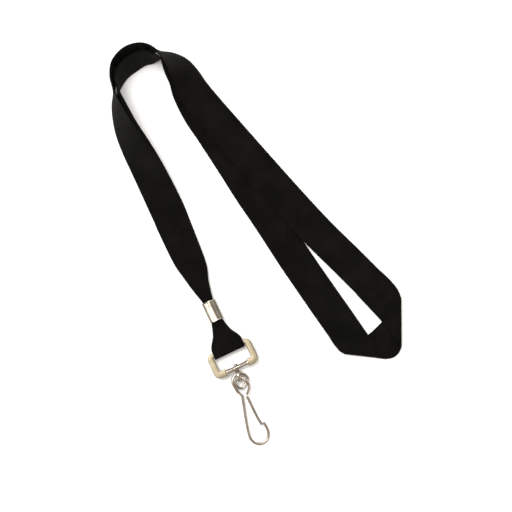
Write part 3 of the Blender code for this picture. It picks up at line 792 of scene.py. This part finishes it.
def swivel_base():
    """Where the swivel's post crosses the frame's lower bar, turned with the swivel."""
    seat = frame_point(SWIVEL_SIDE_PLAY, -SEAT_Y)
    return placed((seat.x, seat.y, HARDWARE_Z), Matrix.Rotation(SWIVEL_TURN, 3, "Z"))


def build_eye(skin):
    """The headed post that ends in an eye, down along -Y."""
    rim = EYE_HOLE_RADIUS + EYE_RIM
    middle = (rim + EYE_HOLE_RADIUS) / 2
    outline = []
    for k in range(EYE_OUTLINE_STEPS):
        a = math.tau * k / EYE_OUTLINE_STEPS
        square = (abs(math.cos(a)) ** 3 + abs(math.sin(a)) ** 3) ** (-1 / 3)
        outline.append((middle + EYE_RIM / 2 * math.cos(a) * square,
                        EYE_WIDTH / 2 * math.sin(a) * square))
    sections = [[Vector((offset, radius * math.cos(a) - EYE_DROP, radius * math.sin(a)))
                 for radius, offset in outline]
                for a in (math.tau * k / EYE_SIDES for k in range(EYE_SIDES))]
    base = swivel_base()
    eye = finish_mesh("eye", moved(bridge_sections(sections, closed=True), base), skin, 50.0)
    bar = SEAT_WAIST_RADIUS + GAP
    dome = [(HEAD_RADIUS * math.cos(a), bar + HEAD_HEIGHT * math.sin(a))
            for a in (math.pi / 2 * k / HEAD_STEPS for k in range(HEAD_STEPS))]
    profile = [(0, -bar - NECK_LENGTH), (NECK_RADIUS, -bar - NECK_LENGTH),
               (NECK_RADIUS, -bar - NECK_BEVEL), (NECK_RADIUS - NECK_BEVEL, -bar),
               (POST_RADIUS, -bar), (POST_RADIUS, bar), (HEAD_RADIUS - 0.12, bar)]
    bm = turned(profile + dome + [(0, bar + HEAD_HEIGHT)])
    boolean(eye, moved(bm, TO_METRES @ base @ Matrix.Rotation(-math.pi / 2, 4, "X")), "UNION")
    return eye


def wire_tube(points):
    """Round wire through points, its rings carried along without twisting, with domed ends."""
    headings = [(points[min(k + 1, len(points) - 1)] - points[max(k - 1, 0)]).normalized()
                for k in range(len(points))]

    def dome(point, heading, inward, shares):
        """Rings of one domed end: inward is 1 at the wire's start and -1 at its end."""
        found = []
        for shrink in shares:
            depth = WIRE_RADIUS * (1 - math.sqrt(1 - shrink ** 2)) * WIRE_END_LENGTH
            found.append((point + heading * inward * depth, heading, shrink))
        return found

    start = dome(points[0], headings[0], 1, WIRE_END_SHARES)
    middle = [(point, heading, 1.0) for point, heading in zip(points[2:-2], headings[2:-2])]
    end = dome(points[-1], headings[-1], -1, reversed(WIRE_END_SHARES))
    side = headings[0].orthogonal().normalized()
    sections = []
    for point, heading, shrink in start + middle + end:
        side = (side - heading * side.dot(heading)).normalized()
        other = heading.cross(side)
        sections.append([point + (side * math.cos(a) + other * math.sin(a)) * WIRE_RADIUS * shrink
                         for a in (math.tau * n / WIRE_SIDES for n in range(WIRE_SIDES))])
    return bridge_sections(sections)


def arc(centre_down, radius, turn, rise_start, rise_end):
    """Points of a turn in the hook's plane: angles in degrees, 0 down the hook, clockwise to the left."""
    start, end = turn
    count = max(2, round(abs(end - start) / TURN_STEP))
    points = []
    for k in range(count + 1):
        share = k / count
        angle = math.radians(start + (end - start) * share)
        points.append(Vector((-radius * math.sin(angle), -(centre_down + radius * math.cos(angle)),
                              rise_start + (rise_end - rise_start) * share)))
    return points


def build_hook(skin):
    """The coil through the eye, the two legs and bend of the hook, and its springy gate."""
    def in_plane(points):
        return [Vector((x, -down, 0)) for x, down in points]

    coil_down = OUTER_TURN_RADIUS - (OUTER_TURN_RADIUS - INNER_TURN_RADIUS + INNER_TURN_DROP) / 2
    outer = arc(0, OUTER_TURN_RADIUS, OUTER_TURN, 0, -COIL_RISE)
    inner = arc(INNER_TURN_DROP, INNER_TURN_RADIUS, INNER_TURN, -COIL_RISE * 0.9, COIL_RISE)
    leave = [Vector((x, -down, rise)) for (x, down), rise in zip(EXIT_POINTS, EXIT_RISES)]
    route = in_plane(reversed(LEG_POINTS)) + in_plane(reversed(LEAD_POINTS)) + outer + inner + leave
    base = (swivel_base() @ Matrix.Translation((0, -EYE_DROP, 0)) @ Matrix.Rotation(HOOK_TILT, 4, "X")
            @ Matrix.Translation((0, -coil_down, 0)))
    hook = finish_mesh("hook", moved(wire_tube(smooth_points(route, WIRE_STEP)), base), skin, 60.0)
    gate_points = smooth_points(in_plane(GATE_POINTS), WIRE_STEP)
    gate = finish_mesh("gate", moved(wire_tube(gate_points), base), skin, 60.0)
    return hook, gate


# ---------------------------------------------------------------- the piece list

web = webbing_skin()
nickel = metal_skin("sleeve_nickel", (0.34, 0.315, 0.27), (0.25, 0.225, 0.18), 0.15, 0.12, 900.0, 0.00001)
satin = metal_skin("frame_satin", (0.265, 0.228, 0.158), (0.225, 0.192, 0.130), 0.40, 0.12, 1400.0, 0.00001)
polish = metal_skin("seat_polish", (0.36, 0.32, 0.27), (0.27, 0.235, 0.19), 0.10, 0.08, 900.0, 0.00001)
wire = metal_skin("wire_nickel", (0.37, 0.33, 0.285), (0.28, 0.245, 0.205), 0.13, 0.12, 1100.0, 0.00001)

strip, strip_length = build_strip("webbing_strip", strip_rows(), web)
loop, loop_length = build_strip("webbing_loop", loop_rows(), web)
sleeve = build_crimp(nickel)
ring, seat_bar = build_frame(satin, polish)
eye = build_eye(wire)
hook, gate = build_hook(wire)

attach(strip, STRAP)
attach(loop, STRAP)
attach(sleeve, STRAP)
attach(ring, "frame")
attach(seat_bar, "frame")
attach(eye, "swivel")
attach(hook, "hook")
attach(gate, "gate")

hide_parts("webbing_front_leg", "webbing_front_arch", "webbing_front_run", "webbing_back_leg",
            "webbing_back_arch", "webbing_back_run", "webbing_neck_fold")
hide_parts("webbing_hook_loop")
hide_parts("crimp_sleeve")
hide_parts("swivel_frame")
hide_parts("swivel_frame")
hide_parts("swivel_eye")
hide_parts("hook_wire")
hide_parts("gate_wire")


# ---------------------------------------------------------------- floor, light and camera

def build_floor():
    """White paper, just below the lanyard."""
    mesh = bpy.data.meshes.new("floor")
    bm = bmesh.new()
    bmesh.ops.create_grid(bm, x_segments=1, y_segments=1, size=FLOOR_SIZE)
    bm.to_mesh(mesh)
    bm.free()
    paper = Skin("paper", (0.93, 0.93, 0.93), 0.9)
    place = paper.node("ShaderNodeTexCoord").outputs["Object"]
    paper.bump(paper.noise(place, 900.0, 3.0), 0.15, 0.00003)
    mesh.materials.append(paper.material)
    floor = add_object("floor", mesh)
    floor.location = (0, 0, -FLOOR_DROP * MM)
    return floor


def area_light(name, location, size, power):
    """A square lamp that looks at the middle of the lanyard."""
    lamp = bpy.data.lights.new(name, "AREA")
    lamp.shape = "RECTANGLE"
    lamp.size = lamp.size_y = size
    lamp.energy = power
    made = add_object(name, lamp)
    made.location = location
    made.rotation_euler = (-Vector(location)).to_track_quat("-Z", "Y").to_euler()
    return made


def build_world():
    """A studio of soft bands, with a bright one about overhead, for the metal to reflect."""
    world = bpy.data.worlds.new("studio")
    world.use_nodes = True
    tree = world.node_tree
    back = tree.nodes["Background"]
    back.inputs["Strength"].default_value = WORLD_STRENGTH
    place = tree.nodes.new("ShaderNodeTexCoord")
    parts = tree.nodes.new("ShaderNodeSeparateXYZ")
    ramp = tree.nodes.new("ShaderNodeValToRGB")
    spread = tree.nodes.new("ShaderNodeMapRange")
    spread.inputs["From Min"].default_value = -1.0
    slant = tree.nodes.new("ShaderNodeVectorRotate")
    slant.rotation_type = "Z_AXIS"
    slant.inputs["Angle"].default_value = WORLD_SLANT
    tree.links.new(place.outputs["Generated"], slant.inputs["Vector"])
    tree.links.new(slant.outputs[0], parts.inputs[0])
    tree.links.new(parts.outputs[0], spread.inputs["Value"])
    tree.links.new(spread.outputs["Result"], ramp.inputs[0])
    tree.links.new(ramp.outputs["Color"], back.inputs["Color"])
    ramp.color_ramp.elements[0].position = 0.0
    ramp.color_ramp.elements[0].color = (0.9, 0.9, 0.9, 1)
    ramp.color_ramp.elements[1].position = 1.0
    ramp.color_ramp.elements[1].color = (0.55, 0.52, 0.48, 1)
    for position, shade in WORLD_BANDS:
        band = ramp.color_ramp.elements.new(position)
        band.color = (shade, shade * 0.95, shade * 0.88, 1)
    bpy.context.scene.world = world


def build_camera():
    lens = bpy.data.cameras.new("camera")
    lens.sensor_width = SENSOR
    lens.lens = SENSOR * VIEW_DISTANCE / VIEW_WIDTH
    camera = add_object("camera", lens)
    away = Vector((0, -math.cos(VIEW_ELEVATION), math.sin(VIEW_ELEVATION)))
    camera.location = VIEW_TARGET + away * VIEW_DISTANCE
    camera.rotation_euler = (math.pi / 2 - VIEW_ELEVATION, 0, 0)
    bpy.context.scene.camera = camera


build_floor()
area_light("key", KEY_PLACE, KEY_SIZE, KEY_POWER)
area_light("fill", FILL_PLACE, FILL_SIZE, FILL_POWER)
build_world()
build_camera()
bpy.context.scene.view_settings.view_transform = "Standard"
bpy.context.scene.view_settings.exposure = EXPOSURE
